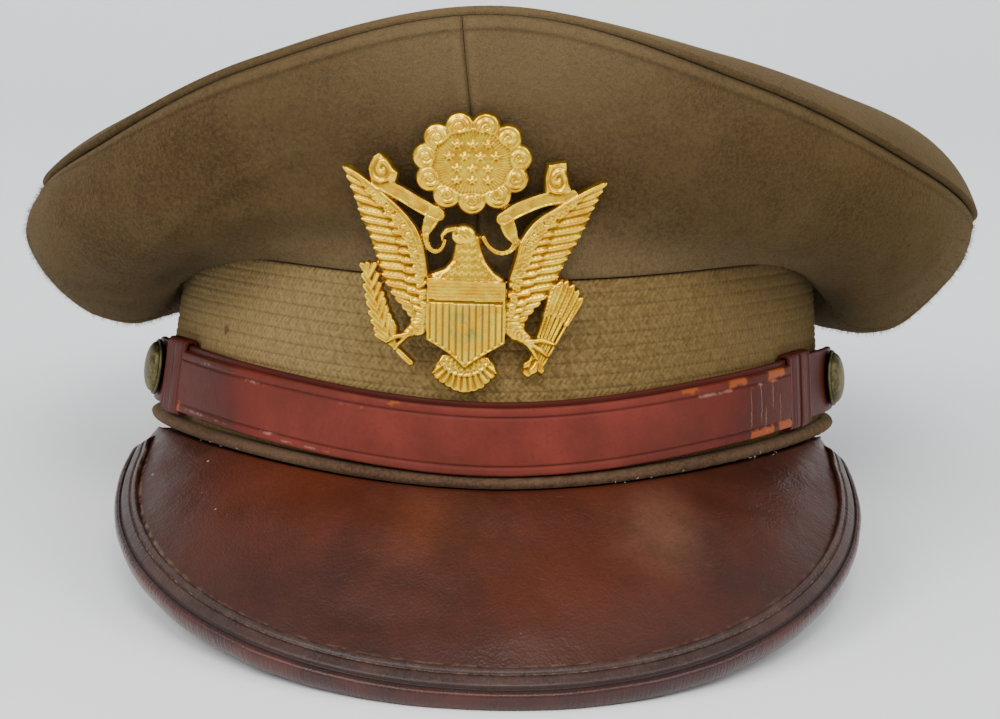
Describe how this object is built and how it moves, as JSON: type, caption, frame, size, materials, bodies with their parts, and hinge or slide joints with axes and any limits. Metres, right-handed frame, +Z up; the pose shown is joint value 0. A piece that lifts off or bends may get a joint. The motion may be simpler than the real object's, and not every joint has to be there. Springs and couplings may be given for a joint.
{
  "type": "peaked cap",
  "caption": "Peaked service cap: wide wool crown, ribbed braid band, bound leather peak, doubled leather chin strap on domed side buttons, pierced gilt eagle badge.",
  "frame": {"origin": "on the surface that the cap rests on, under the middle of its box", "axes": "+Z up, -Y to the front, where the peak points, +X to the right of someone who faces the cap"},
  "size_m": [0.2576, 0.2752, 0.142],
  "materials": {
    "crown_wool": "olive-brown felted wool with a short nap",
    "braid": "khaki mohair braid in flat ribs of chevron knit",
    "peak_leather": "worn russet leather, semi-gloss",
    "binding_leather": "dark stitched leather edging, semi-gloss",
    "strap_leather": "red-brown leather with worn edges, satin",
    "gilt_brass": "gilt with dark patina in the hollows",
    "old_brass": "dull tarnished brass"
  },
  "bodies": {
    "root": {"crown_top": "crown_wool", "crown_front_right": "crown_wool", "crown_front_left": "crown_wool", "crown_rear_right": "crown_wool", "crown_rear_left": "crown_wool", "head_band": "crown_wool", "braid_band": "braid", "peak": "peak_leather", "peak_binding": "binding_leather", "strap_back": "strap_leather", "strap_front": "strap_leather", "keeper_left": "strap_leather", "keeper_right": "strap_leather", "button_left": "old_brass", "button_right": "old_brass", "badge": "gilt_brass", "badge_nut": "old_brass"}
  },
  "joints": []
}
